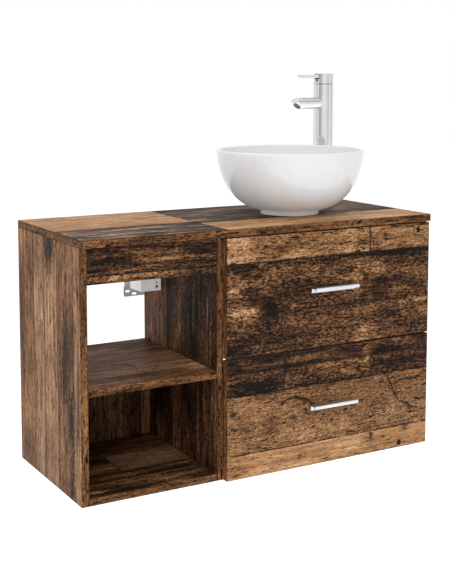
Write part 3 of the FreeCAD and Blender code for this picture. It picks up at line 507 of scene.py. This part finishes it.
# boards: planks are (along from, to, across from, to, finish), in millimetres, later ones on top;
# knots and holes are (along, across, half length, half width);
# curves are (along, across, radius, middle heading, half spread, width)
# patches are (along, across, half length, half width, change of level)
boardLayouts = {
    "top_panel": dict(facing="top", seed=0.4, ragged=0.005, planks=[
        (-401, 401, -341, 1, "brown"), (-401, -99, -202, 1, "paleTan"), (-401, -99, -341, -202, "smoky"),
        (-99, 401, -341, -226, "paleTan"), (-99, 401, -226, 1, "smoky")],
        patches=[(-350, -300, 60, 12, 0.30), (-240, -290, 50, 8, 0.22), (-340, -230, 80, 9, 0.16),
                 (-330, -204, 90, 5, -0.20), (-170, -196, 70, 8, -0.12), (345, -200, 70, 22, -0.14),
                 (60, -60, 130, 16, 0.05), (150, -290, 200, 30, 0.04), (-385, -262, 60, 8, -0.10)],
        knots=[(-176, -112, 12, 7)]),
    "upper_drawer_front": dict(facing="front", seed=1.3, ragged=0.014, planks=[
        (-102, 400, 243, 430, "charred"), (-102, 242, 430, 484, "bandTan"), (242, 400, 430, 484, "bandTan")],
        patches=[(-62, 331, 34, 7, 0.30), (337, 318, 48, 6, 0.22), (262, 395, 22, 13, 0.20),
                 (210, 378, 10, 32, 0.14), (57, 334, 14, 4, 0.28), (-84, 375, 10, 5, 0.25),
                 (-2, 336, 18, 14, -0.26), (-42, 371, 14, 12, -0.22), (330, 427, 75, 9, -0.34),
                 (60, 423, 60, 7, -0.30), (200, 425, 70, 6, -0.22), (-60, 421, 50, 8, -0.18),
                 (110, 262, 60, 16, 0.12), (-30, 262, 70, 22, -0.16), (150, 447, 18, 12, -0.10),
                 (20, 455, 30, 10, -0.10)],
        knots=[(-10, 459, 6, 3), (8, 437, 10, 4), (330, 444, 8, 3), (120, 444, 12, 3), (60, 470, 9, 2),
               (255, 458, 7, 2)], holes=[(368.5, 468, 5.6, 7.2)],
        curves=[(300, 480, 58, 180, 40, 2.2)]),
    "lower_drawer_front": dict(facing="front", seed=2.6, ragged=0.004, planks=[
        (-102, 400, -1, 48, "paleTan"), (-102, 400, 48, 167, "burrTan"),
        (-102, 32, 167, 243, "charred"), (32, 400, 167, 243, "charred"), (-102, 400, 212, 243, "blackened")],
        patches=[(236, 212, 12, 24, 0.30), (284, 222, 36, 14, -0.22), (-36, 187, 52, 12, -0.26),
                 (84, 216, 8, 4, 0.35), (180, 170, 120, 6, -0.22), (-50, 170, 60, 6, -0.22),
                 (340, 190, 50, 10, -0.14), (0, 101, 20, 22, -0.16), (-60, 100, 16, 12, -0.12),
                 (-10, 158, 40, 10, -0.16), (130, 70, 60, 16, 0.07), (300, 75, 90, 20, 0.06),
                 (200, 30, 60, 12, 0.06)],
        knots=[(71, 23, 9, 6), (249, 38, 6, 15), (281, 30, 9, 4), (340, 41, 9, 6), (-28, 57, 5, 4),
               (-88, 132, 8, 6), (313, 120, 8, 4), (-80, 8, 10, 3)], holes=[(325, 10, 6.2, 6.4)],
        curves=[(55, 88, 59, 78, 46, 5.2), (401, 188, 112, 224, 34, 3.2), (350, -20, 168, 92, 20, 3.0)]),
    "left_side_panel": dict(facing="sideTall", seed=3.3, planks=[
        (-1, 486, -86, 1, "brown"), (-1, 486, -144, -86, "sideTan"), (-1, 486, -210, -144, "sideTan"),
        (-1, 486, -290, -210, "brown"), (-1, 486, -324, -290, "sideTan")],
        patches=[(470, -170, 34, 24, -0.34), (430, -166, 30, 12, -0.14), (250, -250, 90, 12, -0.16),
                 (150, -277, 40, 12, -0.34), (35, -277, 60, 9, -0.26), (180, -218, 300, 5, -0.10),
                 (200, -314, 60, 7, -0.18), (230, -18, 70, 14, -0.14), (326, -128, 12, 5, 0.22),
                 (300, -170, 200, 24, 0.07), (100, -120, 120, 18, 0.07)],
        knots=[(474, -176, 14, 11), (171, -97, 20, 5), (292, -246, 22, 4), (222, -248, 22, 4),
               (332, -284, 20, 4), (396, -313, 14, 5), (152, -277, 26, 8), (136, -307, 16, 8),
               (263, -20, 12, 4), (221, -20, 12, 4), (36, -42, 10, 5)]),
    "right_side_panel": dict(facing="sideTall", seed=4.1, planks=[
        (-1, 486, -324, -250, "sideTan"), (-1, 486, -250, -165, "brown"), (-1, 486, -165, -70, "sideTan"),
        (-1, 486, -70, 1, "darkBrown")],
        patches=[(420, -110, 50, 20, -0.20), (200, -290, 70, 12, -0.18)],
        knots=[(120, -200, 26, 7), (380, -60, 20, 8), (300, -290, 18, 5)]),
    "divider_panel": dict(facing="sideTall", seed=5.2, planks=[
        (-1, 486, -110, 1, "brown"), (-1, 486, -290, -110, "blackened"), (-1, 486, -324, -290, "blackened"),
        (-1, 206, -324, 1, "blackened")],
        patches=[(330, -160, 70, 8, 0.20), (420, -180, 60, 5, 0.16), (100, -150, 80, 16, 0.14)]),
    "compartment_shelf": dict(facing="top", seed=0.9, planks=[
        (-386, -114, -324, 1, "sideTan"), (-386, -114, -324, -262, "brown"), (-386, -240, -262, -190, "sideTan"),
        (-386, -114, -110, -50, "brown"), (-386, -114, -50, 1, "darkBrown")],
        patches=[(-130, -270, 26, 24, 0.26), (-300, -285, 80, 12, -0.14)],
        knots=[(-150, -262, 8, 3), (-200, -120, 14, 4)]),
    "compartment_bottom_panel": dict(facing="top", seed=1.9, planks=[
        (-386, -114, -324, 1, "darkBrown"), (-386, -114, -324, -215, "blackened"),
        (-270, -114, -215, -120, "sideTan"), (-386, -114, -120, 1, "darkBrown")],
        patches=[(-180, -290, 60, 8, 0.30), (-150, -230, 30, 6, 0.30), (-360, -300, 20, 7, 0.34)]),
    "drawer_bay_bottom_panel": dict(facing="top", seed=2.2, planks=[
        (-101, 386, -324, -160, "brown"), (-101, 386, -160, 1, "sideTan")]),
    "compartment_valance": dict(facing="front", seed=3.7, planks=[
        (-386, -114, 414, 486, "blackened"), (-386, -114, 414, 430, "charred")],
        patches=[(-240, 452, 30, 4, 0.18), (-330, 427, 40, 6, 0.08), (-150, 436, 40, 6, 0.06)]),
    "compartment_back_panel": dict(facing="backTall", seed=4.6, planks=[
        (14, 207, -386, -114, "brown"), (14, 207, -290, -225, "darkBrown"), (14, 207, -180, -140, "darkBrown")],
        knots=[(180, -300, 12, 8), (90, -200, 22, 10)]),
    "drawer_bay_upper_rail": dict(facing="front", seed=6.1, planks=[
        (-101, 386, 400, 486, "brown"), (-101, 386, 440, 486, "sideTan")]),
    "drawer_bay_lower_rail": dict(facing="front", seed=6.6, planks=[
        (-101, 386, 10, 100, "brown"), (-101, 386, 50, 100, "darkBrown")]),
}
for nodeName, layout in boardLayouts.items():
    dress(nodeName, boardMaterial(nodeName, **layout))
print("boards dressed:", len(boardLayouts))


# grain of plain parts: speckle and fine lines along one axis, for metals, plastics and rubber
def buildSurfaceGrain():
    tree, given, result = newGroup("surfaceGrain", [
        ("Vector", "NodeSocketVector", None),
        ("Stretch", "NodeSocketVector", (1, 1, 1)),
        ("Color", "NodeSocketColor", (0.5, 0.5, 0.5, 1)),
        ("Shade", "NodeSocketColor", (0.4, 0.4, 0.4, 1)),
        ("Base", "NodeSocketFloat", 0.4),
        ("Vary", "NodeSocketFloat", 0.1),
    ], [("Color", "NodeSocketColor"), ("Roughness", "NodeSocketFloat"), ("Height", "NodeSocketFloat")])
    scaled = tree.nodes.new("ShaderNodeVectorMath")
    scaled.operation = "MULTIPLY"
    wire(tree, given["Vector"], scaled.inputs[0])
    wire(tree, given["Stretch"], scaled.inputs[1])
    fine = noise(tree, scaled.outputs[0], 4.0, 0.6)
    slow = noise(tree, stretched(tree, given["Vector"], (28.0, 28.0, 28.0)), 3.0, 0.6)
    blend = mathNode(tree, "MULTIPLY_ADD", fine, 0.5, mathNode(tree, "MULTIPLY", slow, 0.5))
    tint = mixColor(tree, smoothStep(tree, blend, 0.35, 0.65), given["Shade"], given["Color"])
    wire(tree, tint, result["Color"])
    swing = mathNode(tree, "MULTIPLY_ADD", blend, 2.0, -1.0)
    wire(tree, mathNode(tree, "MULTIPLY_ADD", swing, given["Vary"], given["Base"]), result["Roughness"])
    wire(tree, fine, result["Height"])
    return tree


surfaceGrain = buildSurfaceGrain()
# paintedGlow is painted light, a weak emission in the finish's own colour
plainFinishes = {
    "drawer_box_board": dict(stretch=(14, 420, 420), color=(0.40, 0.27, 0.17), shade=(0.27, 0.17, 0.10),
                             base=0.6, vary=0.08, metal=0.0, bump=0.12, specular=0.3),
    "handle_aluminium": dict(stretch=(14, 2600, 2600), color=(0.80, 0.81, 0.83), shade=(0.68, 0.69, 0.72),
                             base=0.34, vary=0.10, metal=1.0, bump=0.06),
    "runner_steel": dict(stretch=(900, 16, 900), color=(0.60, 0.61, 0.63), shade=(0.46, 0.47, 0.49),
                         base=0.38, vary=0.12, metal=1.0, bump=0.08),
    "zinc_steel": dict(stretch=(240, 240, 240), color=(0.88, 0.885, 0.90), shade=(0.76, 0.765, 0.78),
                       base=0.42, vary=0.14, metal=0.25, bump=0.08, paintedGlow=0.05),
    "hanger_plastic": dict(stretch=(1300, 1300, 1300), color=(0.92, 0.92, 0.92), shade=(0.86, 0.86, 0.86),
                           base=0.45, vary=0.06, metal=0.0, bump=0.10, paintedGlow=0.22),
    "basin_ceramic": dict(stretch=(34, 34, 34), color=(0.56, 0.565, 0.57), shade=(0.54, 0.545, 0.55),
                          base=0.16, vary=0.03, metal=0.0, bump=0.02, coat=0.15, paintedGlow=0.24),
    "polished_chrome": dict(stretch=(90, 90, 90), color=(0.85, 0.855, 0.86), shade=(0.80, 0.805, 0.81),
                            base=0.07, vary=0.03, metal=1.0, bump=0.004),
    "aerator_plastic": dict(stretch=(1500, 1500, 1500), color=(0.085, 0.088, 0.095), shade=(0.05, 0.052, 0.056),
                            base=0.45, vary=0.08, metal=0.0, bump=0.15),
    "dark_plastic": dict(stretch=(1200, 1200, 1200), color=(0.035, 0.035, 0.037), shade=(0.022, 0.022, 0.024),
                         base=0.5, vary=0.08, metal=0.0, bump=0.12),
    "tap_brass": dict(stretch=(70, 70, 1900), color=(0.78, 0.58, 0.27), shade=(0.62, 0.43, 0.18),
                      base=0.3, vary=0.1, metal=1.0, bump=0.08),
    "plumbing_plastic": dict(stretch=(700, 700, 700), color=(0.88, 0.88, 0.875), shade=(0.82, 0.82, 0.81),
                             base=0.36, vary=0.06, metal=0.0, bump=0.06),
    "gasket_rubber": dict(stretch=(1400, 1400, 1400), color=(0.045, 0.045, 0.047), shade=(0.03, 0.03, 0.032),
                          base=0.7, vary=0.08, metal=0.0, bump=0.2),
}


def plainMaterial(name, finish):
    material = bpy.data.materials.new(name + "_finish")
    material.use_nodes = True
    tree = material.node_tree
    shader = tree.nodes["Principled BSDF"]
    coordinates = tree.nodes.new("ShaderNodeTexCoord")
    grain = useGroup(tree, surfaceGrain, Vector=coordinates.outputs["Object"], Stretch=finish["stretch"],
                     Color=(*finish["color"], 1), Shade=(*finish["shade"], 1),
                     Base=finish["base"], Vary=finish["vary"])
    wire(tree, grain.outputs["Color"], shader.inputs["Base Color"])
    wire(tree, grain.outputs["Roughness"], shader.inputs["Roughness"])
    shader.inputs["Metallic"].default_value = finish["metal"]
    shader.inputs["Specular IOR Level"].default_value = finish.get("specular", 0.5)
    shader.inputs["Coat Weight"].default_value = finish.get("coat", 0.0)
    shader.inputs["Coat Roughness"].default_value = 0.04
    # painted light: white plastic, zinc and glaze get a weak glow that brightens their shaded faces, standing in for
    # the light of an evenly lit studio
    wire(tree, grain.outputs["Color"], shader.inputs["Emission Color"])
    shader.inputs["Emission Strength"].default_value = finish.get("paintedGlow", 0.0)
    bump = addNode(tree, "ShaderNodeBump", Strength=finish["bump"], Distance=0.0003)
    wire(tree, grain.outputs["Height"], bump.inputs["Height"])
    wire(tree, bump.outputs["Normal"], shader.inputs["Normal"])
    return material


plainMaterials = {name: plainMaterial(name, finish) for name, finish in plainFinishes.items()}
for piece in nodes.values():
    for index, slot in enumerate(piece.data.materials):
        if slot and slot.name in plainMaterials:
            piece.data.materials[index] = plainMaterials[slot.name]
# the hangers' adjusting screws are a darker steel than the other fittings
darkScrew = dict(stretch=(600, 600, 600), color=(0.30, 0.30, 0.31), shade=(0.20, 0.20, 0.21),
                 base=0.4, vary=0.1, metal=0.3, bump=0.08)
dress("hanger_adjusting_screws", plainMaterial("dark_screw", darkScrew))
print("plain finishes:", len(plainMaterials))


# the red and blue temperature dot, a thin lens bent round the tap's cap
dotValues = dict(radius=0.0040, rise=0.0005, height=0.7825, heading=193.0, rings=6, sectors=40)


def makeDot(values):
    low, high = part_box("tap_cap")
    centre = ((low[0] + high[0]) / 2, (low[1] + high[1]) / 2)
    capRadius = (high[0] - low[0]) / 2
    work = bmesh.new()

    def vertexAt(share, turn, out):
        across = share * values["radius"] * math.cos(turn)
        angle = math.radians(values["heading"]) + across / capRadius
        place = (centre[0] + (capRadius + out) * math.cos(angle), centre[1] + (capRadius + out) * math.sin(angle),
                 values["height"] + share * values["radius"] * math.sin(turn))
        return work.verts.new(place)

    turns = [2 * math.pi * step / values["sectors"] for step in range(values["sectors"])]
    rows = [[vertexAt(1.0, turn, -0.0004) for turn in turns]]
    for ring in range(values["rings"]):
        share = 1 - ring / values["rings"]
        rows.append([vertexAt(share, turn, values["rise"] * (1 - 0.7 * share ** 4)) for turn in turns])
    front = vertexAt(0.0, 0.0, values["rise"])
    rear = vertexAt(0.0, 0.0, -0.0004)
    count = len(turns)
    for outer, inner in zip(rows, rows[1:]):
        for step in range(count):
            after = (step + 1) % count
            work.faces.new((outer[step], outer[after], inner[after], inner[step]))
    for step in range(count):
        after = (step + 1) % count
        work.faces.new((rows[-1][step], rows[-1][after], front))
        work.faces.new((rows[0][after], rows[0][step], rear))
    bmesh.ops.recalc_face_normals(work, faces=work.faces)
    for face in work.faces:
        face.smooth = True
    mesh = bpy.data.meshes.new("temperatureDot")
    work.to_mesh(mesh)
    work.free()
    dot = linkObject("temperatureDot", mesh)
    material = bpy.data.materials.new("temperatureDot")
    material.use_nodes = True
    tree = material.node_tree
    shader = tree.nodes["Principled BSDF"]
    coordinates = tree.nodes.new("ShaderNodeTexCoord")
    along = tree.nodes.new("ShaderNodeVectorMath")
    along.operation = "DOT_PRODUCT"
    turn = math.radians(values["heading"] + 90)
    side = (math.cos(turn), math.sin(turn), 0.0)
    fromAxis = stretched(tree, coordinates.outputs["Object"], (1, 1, 1), (-centre[0], -centre[1], 0))
    wire(tree, fromAxis, along.inputs[0])
    along.inputs[1].default_value = side
    half = smoothStep(tree, along.outputs["Value"], -0.0002, 0.0002)
    enamel = noise(tree, stretched(tree, coordinates.outputs["Object"], (900, 900, 900)), 3.0, 0.6)
    color = mixColor(tree, half, (0.62, 0.02, 0.05), (0.02, 0.10, 0.62))
    color = mixColor(tree, mathNode(tree, "MULTIPLY", enamel, 0.25), color, (0.30, 0.20, 0.30))
    wire(tree, color, shader.inputs["Base Color"])
    wire(tree, mathNode(tree, "MULTIPLY_ADD", enamel, 0.15, 0.22), shader.inputs["Roughness"])
    setMaterial(dot, material)
    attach(dot, "tap_cap")


makeDot(dotValues)
print("temperature dot made")

# the wire grille in the aerator: two crossed rows of bars, each as long as its chord of the round opening
grilleValues = dict(radius=0.0071, spacing=0.0015, wire=0.0005, bars=9, forward=0.00215, heading=193.0,
                    finish=dict(stretch=(1800, 1800, 1800), color=(0.34, 0.345, 0.35), shade=(0.24, 0.245, 0.25),
                                base=0.35, vary=0.08, metal=0.6, bump=0.05))


def buildGrille():
    tree = bpy.data.node_groups.new("aeratorGrille", "GeometryNodeTree")
    for label, kind in (("Radius", "NodeSocketFloat"), ("Spacing", "NodeSocketFloat"), ("Wire", "NodeSocketFloat"),
                        ("Bars", "NodeSocketInt"), ("Place", "NodeSocketVector"), ("Turn", "NodeSocketRotation"),
                        ("Material", "NodeSocketMaterial")):
        tree.interface.new_socket(label, in_out="INPUT", socket_type=kind)
    tree.interface.new_socket("Geometry", in_out="OUTPUT", socket_type="NodeSocketGeometry")
    given = tree.nodes.new("NodeGroupInput").outputs
    result = tree.nodes.new("NodeGroupOutput").inputs
    reach = mathNode(tree, "MULTIPLY", mathNode(tree, "SUBTRACT", given["Bars"], 1.0), given["Spacing"])
    start = tree.nodes.new("ShaderNodeCombineXYZ")
    wire(tree, mathNode(tree, "MULTIPLY", reach, -0.5), start.inputs["X"])
    step = tree.nodes.new("ShaderNodeCombineXYZ")
    wire(tree, given["Spacing"], step.inputs["X"])
    row = tree.nodes.new("GeometryNodeMeshLine")
    wire(tree, given["Bars"], row.inputs["Count"])
    wire(tree, start.outputs[0], row.inputs["Start Location"])
    wire(tree, step.outputs[0], row.inputs["Offset"])
    bar = tree.nodes.new("GeometryNodeMeshCylinder")
    bar.inputs["Vertices"].default_value = 10
    bar.inputs["Depth"].default_value = 2.0
    wire(tree, mathNode(tree, "MULTIPLY", given["Wire"], 0.5), bar.inputs["Radius"])
    laid = tree.nodes.new("GeometryNodeTransform")
    laid.inputs["Rotation"].default_value = (math.radians(90), 0, 0)
    wire(tree, bar.outputs["Mesh"], laid.inputs["Geometry"])
    position = tree.nodes.new("GeometryNodeInputPosition")
    parts = tree.nodes.new("ShaderNodeSeparateXYZ")
    wire(tree, position.outputs[0], parts.inputs[0])
    square = mathNode(tree, "MULTIPLY", given["Radius"], given["Radius"])
    offset = mathNode(tree, "POWER", parts.outputs[0], 2.0)
    chord = mathNode(tree, "SQRT", mathNode(tree, "SUBTRACT", square, offset))
    size = tree.nodes.new("ShaderNodeCombineXYZ")
    size.inputs["X"].default_value = 1.0
    size.inputs["Z"].default_value = 1.0
    wire(tree, chord, size.inputs["Y"])
    placed = tree.nodes.new("GeometryNodeInstanceOnPoints")
    wire(tree, row.outputs["Mesh"], placed.inputs["Points"])
    wire(tree, laid.outputs["Geometry"], placed.inputs["Instance"])
    wire(tree, size.outputs[0], placed.inputs["Scale"])
    crossed = tree.nodes.new("GeometryNodeTransform")
    crossed.inputs["Rotation"].default_value = (0, 0, math.radians(90))
    wire(tree, placed.outputs["Instances"], crossed.inputs["Geometry"])
    joined = tree.nodes.new("GeometryNodeJoinGeometry")
    wire(tree, placed.outputs["Instances"], joined.inputs["Geometry"])
    wire(tree, crossed.outputs["Geometry"], joined.inputs["Geometry"])
    turned = tree.nodes.new("GeometryNodeTransform")
    wire(tree, joined.outputs["Geometry"], turned.inputs["Geometry"])
    wire(tree, given["Place"], turned.inputs["Translation"])
    wire(tree, given["Turn"], turned.inputs["Rotation"])
    solid = tree.nodes.new("GeometryNodeRealizeInstances")
    wire(tree, turned.outputs["Geometry"], solid.inputs["Geometry"])
    painted = tree.nodes.new("GeometryNodeSetMaterial")
    wire(tree, solid.outputs["Geometry"], painted.inputs["Geometry"])
    wire(tree, given["Material"], painted.inputs["Material"])
    wire(tree, painted.outputs["Geometry"], result["Geometry"])
    return tree


def makeGrille(values):
    low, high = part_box("tap_aerator")
    middle = (Vector(low) + Vector(high)) / 2
    turn = math.radians(values["heading"])
    outward = Vector((math.cos(turn), math.sin(turn), -1.0)).normalized()
    material = plainMaterial("grille_wire", values["finish"])
    given = {"Radius": values["radius"], "Spacing": values["spacing"],
             "Wire": values["wire"], "Bars": values["bars"],
             "Place": middle + outward * values["forward"], "Turn": outward.to_track_quat("Z", "Y").to_euler(),
             "Material": material}
    source = linkObject("grilleSource", bpy.data.meshes.new("grilleSource"))
    modifier = source.modifiers.new("grille", "NODES")
    modifier.node_group = buildGrille()
    for item in modifier.node_group.interface.items_tree:
        if item.in_out == "INPUT":
            value = given[item.name]
            modifier[item.identifier] = tuple(value) if isinstance(value, Vector) else value
    bpy.context.view_layer.update()
    mesh = bpy.data.meshes.new_from_object(source.evaluated_get(bpy.context.evaluated_depsgraph_get()))
    bpy.data.objects.remove(source)
    mesh.name = "aeratorGrille"
    grille = linkObject("aeratorGrille", mesh)
    if not mesh.materials:
        mesh.materials.append(material)
    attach(grille, "cabinet")
    print("aerator grille:", len(mesh.polygons), "faces")


makeGrille(grilleValues)


# camera, floor and lights
# focal and longSide share one unit and together set the lens
cameraValues = dict(place=(-1.1820, -2.2199, 0.8004), turn=29.83, tilt=5.73, focal=1140.7, shift=-0.18,
                    longSide=584, sensor=36.0)


def setCamera(values):
    data = bpy.data.cameras.new("viewCamera")
    data.sensor_width = values["sensor"]
    data.lens = values["focal"] / values["longSide"] * data.sensor_width
    data.shift_y = values["shift"]
    data.clip_start, data.clip_end = 0.05, 60.0
    camera = bpy.data.objects.new("viewCamera", data)
    bpy.context.scene.collection.objects.link(camera)
    camera.location = values["place"]
    camera.rotation_euler = (math.radians(90 - values["tilt"]), 0, math.radians(-values["turn"]))
    bpy.context.scene.camera = camera


def areaLight(name, place, target, size, power):
    data = bpy.data.lights.new(name, "AREA")
    data.shape = "RECTANGLE"
    data.size, data.size_y = size
    data.energy = power
    lamp = bpy.data.objects.new(name, data)
    bpy.context.scene.collection.objects.link(lamp)
    lamp.location = place
    direction = Vector(target) - Vector(place)
    lamp.rotation_euler = direction.to_track_quat("-Z", "Y").to_euler()
    # polished metal shows the room's screens, not the lamps
    lamp.visible_glossy = False
    return lamp


# soft room: what the camera sees, what lights the cabinet, and the screens that metal mirrors
# screens are (heading in degrees, half width in degrees, depth)
roomValues = dict(seen=1.0, litColor=(0.96, 0.98, 1.0), lit=0.66, mirrored=0.88, screens=[
    (-157, 30, 0.36), (-168, 10, 0.12), (-68, 22, 0.20), (-20, 9, 0.40), (160, 14, 0.20)])


def setWorld(values):
    world = bpy.data.worlds.new("studio")
    bpy.context.scene.world = world
    world.use_nodes = True
    tree = world.node_tree
    tree.nodes.clear()
    output = tree.nodes.new("ShaderNodeOutputWorld")
    seen = addNode(tree, "ShaderNodeBackground", Color=(1, 1, 1, 1), Strength=values["seen"])
    lit = addNode(tree, "ShaderNodeBackground", Color=(*values["litColor"], 1), Strength=values["lit"])
    # polished metal mirrors a bright room with a few soft, darker screens
    mirrored = addNode(tree, "ShaderNodeBackground", Strength=1.0)
    coordinates = tree.nodes.new("ShaderNodeTexCoord")
    parts = tree.nodes.new("ShaderNodeSeparateXYZ")
    wire(tree, coordinates.outputs["Generated"], parts.inputs[0])
    heading = mathNode(tree, "ARCTAN2", parts.outputs[1], parts.outputs[0])
    shade = values["mirrored"]
    for screen, reach, depth in values["screens"]:
        off = mathNode(tree, "ABSOLUTE", mathNode(tree, "SUBTRACT", heading, math.radians(screen)))
        band = smoothStep(tree, off, math.radians(reach), math.radians(reach * 0.3))
        shade = mathNode(tree, "MULTIPLY_ADD", band, -depth, shade)
    gray = tree.nodes.new("ShaderNodeCombineColor")
    for slot in range(3):
        wire(tree, shade, gray.inputs[slot])
    wire(tree, gray.outputs[0], mirrored.inputs["Color"])
    path = tree.nodes.new("ShaderNodeLightPath")
    other = tree.nodes.new("ShaderNodeMixShader")
    wire(tree, path.outputs["Is Glossy Ray"], other.inputs[0])
    wire(tree, lit.outputs[0], other.inputs[1])
    wire(tree, mirrored.outputs[0], other.inputs[2])
    choose = tree.nodes.new("ShaderNodeMixShader")
    wire(tree, path.outputs["Is Camera Ray"], choose.inputs[0])
    wire(tree, other.outputs[0], choose.inputs[1])
    wire(tree, seen.outputs[0], choose.inputs[2])
    wire(tree, choose.outputs[0], output.inputs[0])


floorValues = dict(level=-0.55, reach=14.0, tone=0.92, roughness=0.95, paintedGlow=0.46)


def makeFloor(values):
    level, reach = values["level"], values["reach"]
    mesh = bpy.data.meshes.new("paleFloor")
    corners = [(-reach, -reach, level), (reach, -reach, level), (reach, reach, level), (-reach, reach, level)]
    mesh.from_pydata(corners, [], [(0, 1, 2, 3)])
    floor = linkObject("paleFloor", mesh)
    material = bpy.data.materials.new("paleFloor")
    material.use_nodes = True
    shader = material.node_tree.nodes["Principled BSDF"]
    shader.inputs["Base Color"].default_value = (*[values["tone"]] * 3, 1)
    shader.inputs["Roughness"].default_value = values["roughness"]
    shader.inputs["Emission Color"].default_value = (1, 1, 1, 1)
    shader.inputs["Emission Strength"].default_value = values["paintedGlow"]
    setMaterial(floor, material)


# lamps: place, size and power, all aimed at the middle of the cabinet
lampTarget = (0, -0.2, 0.3)
lampValues = {
    "keyLight": dict(place=(-1.6, -2.6, 2.2), size=(3.0, 3.0), power=54),
    "topLight": dict(place=(0.2, -0.3, 2.8), size=(3.0, 3.0), power=30),
    "sideFill": dict(place=(-3.2, 0.9, 1.0), size=(2.2, 2.2), power=13),
}

setCamera(cameraValues)
setWorld(roomValues)
makeFloor(floorValues)
for lampName, lamp in lampValues.items():
    areaLight(lampName, target=lampTarget, **lamp)
print("camera, floor and lights:", len(lampValues), "lamps")
bpy.context.scene.view_settings.view_transform = "Standard"
bpy.context.scene.view_settings.look = "None"
